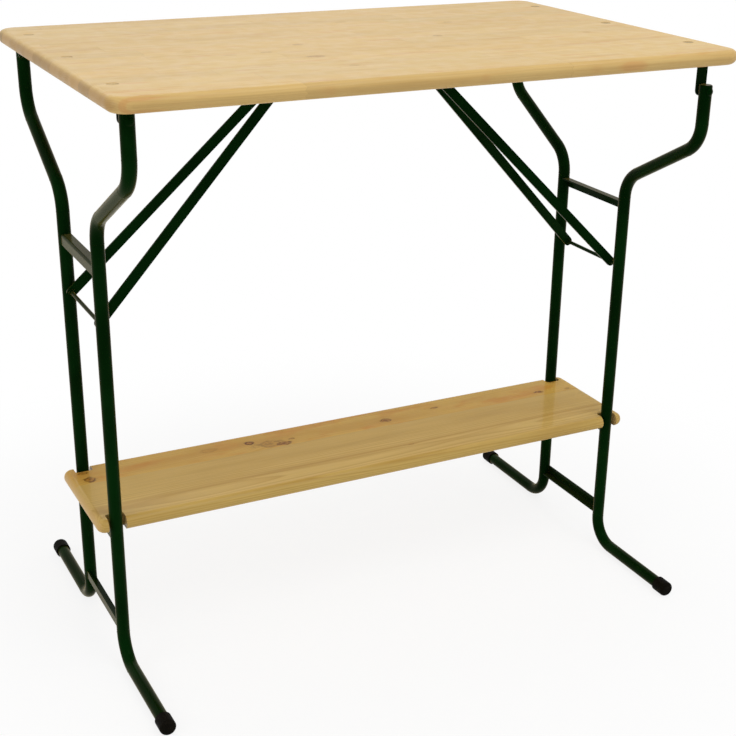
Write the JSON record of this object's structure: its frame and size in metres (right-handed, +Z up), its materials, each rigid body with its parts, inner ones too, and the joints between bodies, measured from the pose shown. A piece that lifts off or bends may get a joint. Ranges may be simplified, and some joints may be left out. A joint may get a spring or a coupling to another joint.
{
  "type": "folding bar table",
  "caption": "High standing table: a rounded board on bent-tube leg frames with sloping struts that unhook, and a loose lower shelf notched round the legs.",
  "frame": {"origin": "on the floor under the middle of the table top", "axes": "+X along the length of the top, +Y from the front long edge to the back one, +Z up"},
  "size_m": [1.1, 0.7, 1.058],
  "materials": {
    "top_wood": "clear satin varnish on pine",
    "shelf_wood": "clear gloss varnish on pine",
    "green_paint": "glossy dark green powder coat",
    "zinc": "dull zinc plating",
    "cap_rubber": "matt"
  },
  "bodies": {
    "table": {"table_top": "top_wood", "left_hinge_strap": "green_paint", "right_hinge_strap": "green_paint", "strap_bolts": "zinc", "strap_nuts": "zinc", "left_hinge_rivets": "green_paint", "right_hinge_rivets": "green_paint", "hinge_washers": "green_paint", "left_front_leg": "green_paint", "left_back_leg": "green_paint", "right_front_leg": "green_paint", "right_back_leg": "green_paint", "left_upper_bar": "green_paint", "right_upper_bar": "green_paint", "left_lower_bar": "green_paint", "right_lower_bar": "green_paint", "left_shelf_lugs": "green_paint", "right_shelf_lugs": "green_paint", "left_strut_rod": "green_paint", "right_strut_rod": "green_paint", "left_foot_caps": "cap_rubber", "right_foot_caps": "cap_rubber", "left_catch_bracket": "green_paint", "right_catch_bracket": "green_paint", "catch_screws": "zinc", "latch_pivots": "zinc"},
    "left_struts": {"left_front_strut": "green_paint", "left_back_strut": "green_paint", "left_lock_pin": "zinc"},
    "right_struts": {"right_front_strut": "green_paint", "right_back_strut": "green_paint", "right_lock_pin": "zinc"},
    "left_latch": {"left_latch": "green_paint"},
    "right_latch": {"right_latch": "green_paint"},
    "shelf": {"shelf_front_plank": "shelf_wood", "shelf_back_plank": "shelf_wood"}
  },
  "joints": [
    {"name": "left_strut_swing", "type": "hinge", "parent": "table", "child": "left_struts", "pos_m": [-0.5145, 0, 0.643], "axis": [0, 1, 0], "range_deg": [0, 68]},
    {"name": "right_strut_swing", "type": "hinge", "parent": "table", "child": "right_struts", "pos_m": [0.5105, 0, 0.612], "axis": [0, -1, 0], "range_deg": [0, 64]},
    {"name": "left_latch_press", "type": "hinge", "parent": "table", "child": "left_latch", "pos_m": [-0.1585, 0, 1.02], "axis": [0, 1, 0], "range_deg": [0, 26], "stiffness_Nm_per_rad": 0.3, "springref_deg": -11.46},
    {"name": "right_latch_press", "type": "hinge", "parent": "table", "child": "right_latch", "pos_m": [0.1665, 0, 0.986], "axis": [0, -1, 0], "range_deg": [0, 26], "stiffness_Nm_per_rad": 0.3, "springref_deg": -11.46},
    {"name": "shelf_lift", "type": "slide", "parent": "table", "child": "shelf", "axis": [0, 0, 1], "range_m": [0, 0.12]}
  ]
}
